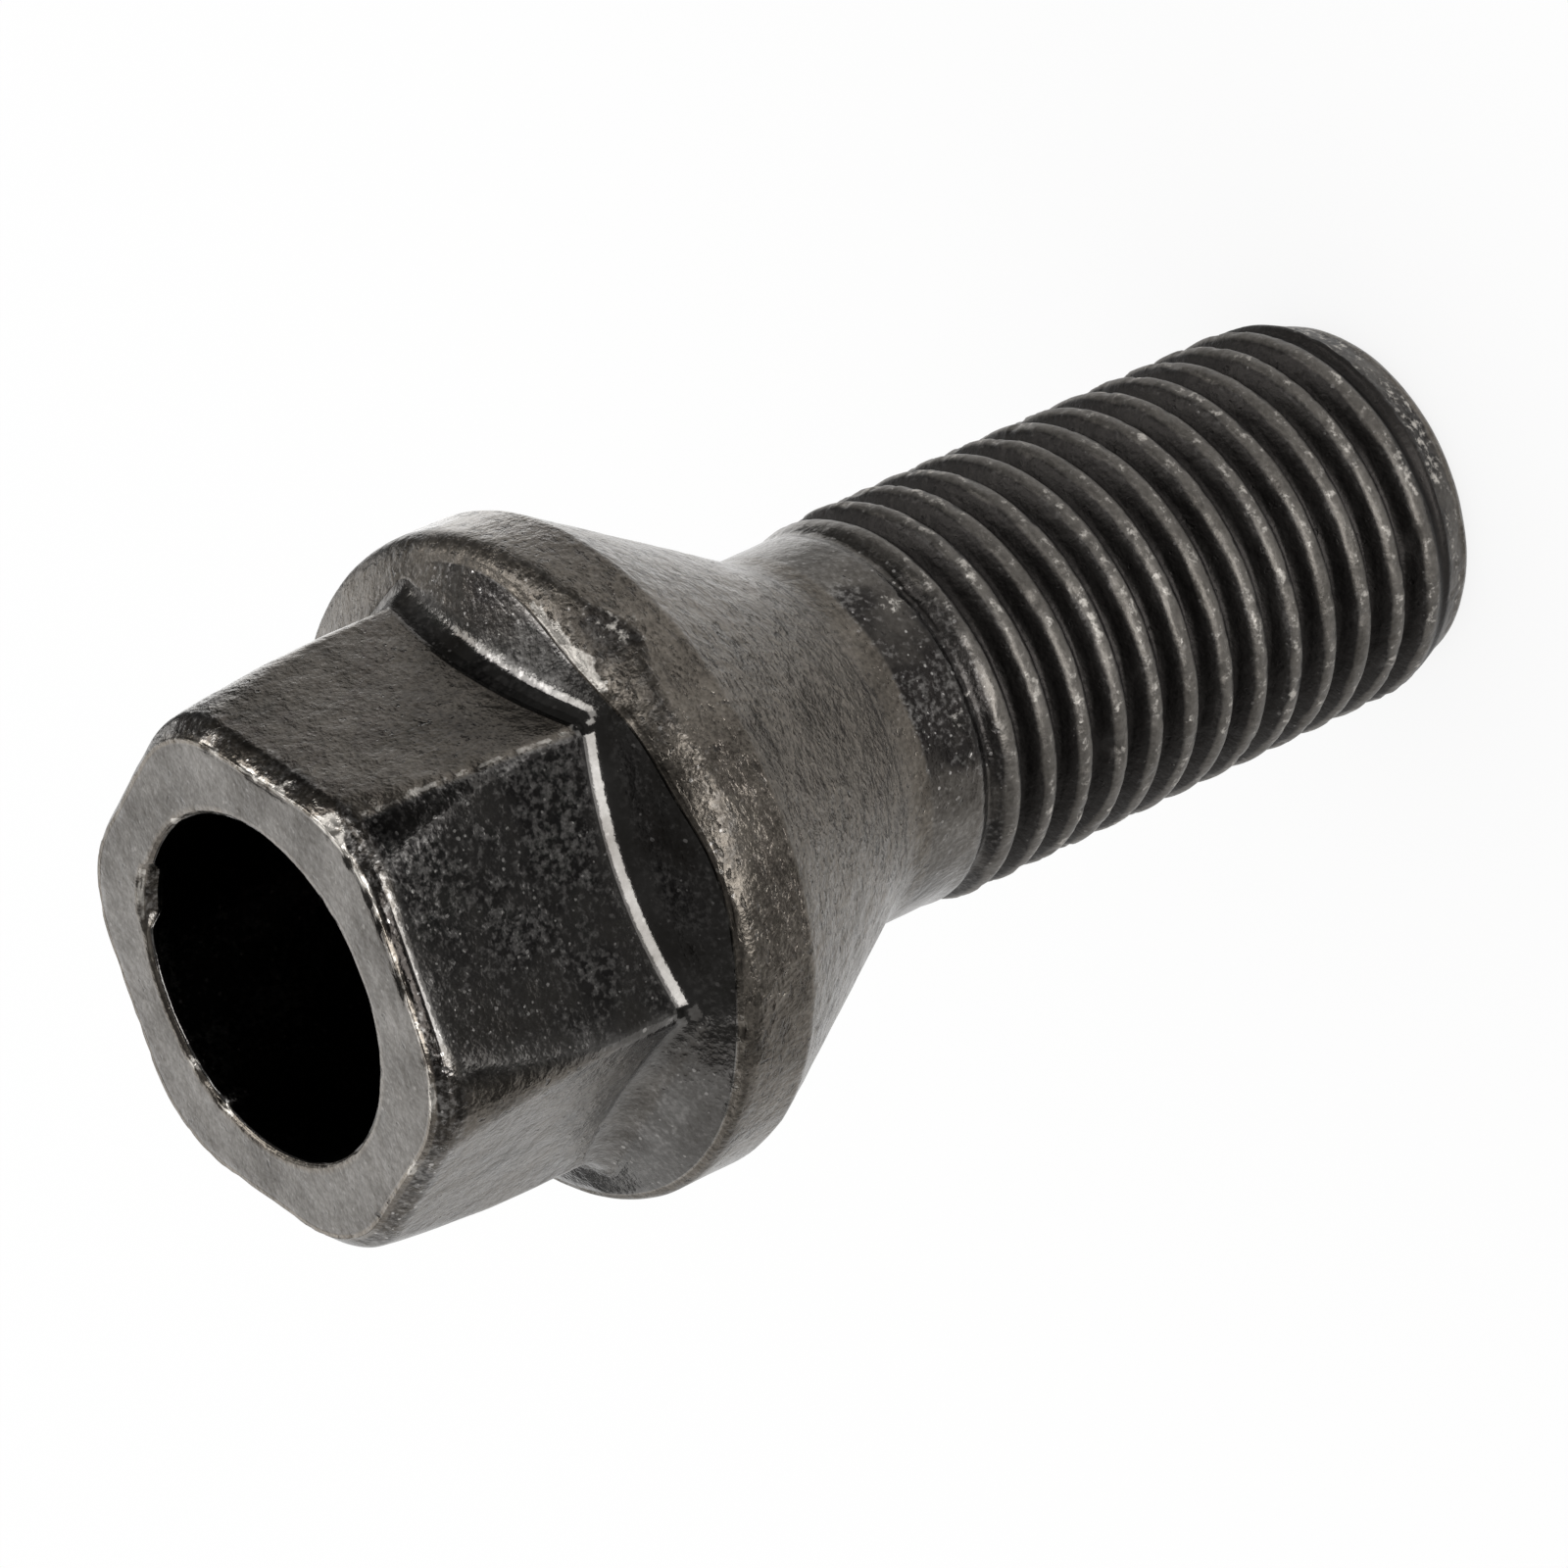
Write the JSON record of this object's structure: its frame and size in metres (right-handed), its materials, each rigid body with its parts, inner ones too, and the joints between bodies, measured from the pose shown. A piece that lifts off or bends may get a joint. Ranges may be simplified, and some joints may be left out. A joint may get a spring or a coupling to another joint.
{
  "type": "wheel bolt",
  "caption": "Forged wheel bolt with a hollow hexagon head, a collar with a conical seat and a threaded shank; it clamps a road wheel to its hub.",
  "frame": {"origin": "centre of the threaded end's flat face, on which the bolt stands", "axes": "+Z along the bolt's axis from the threaded end to the head; +Y towards the middle of one flat of the hexagon, +X towards one of its corners"},
  "size_m": [0.0232, 0.0232, 0.0479],
  "materials": {
    "black_steel": "black phosphated and oiled steel, satin, worn bright on the edges"
  },
  "bodies": {
    "root": {"wheel_bolt": "black_steel"}
  },
  "joints": []
}
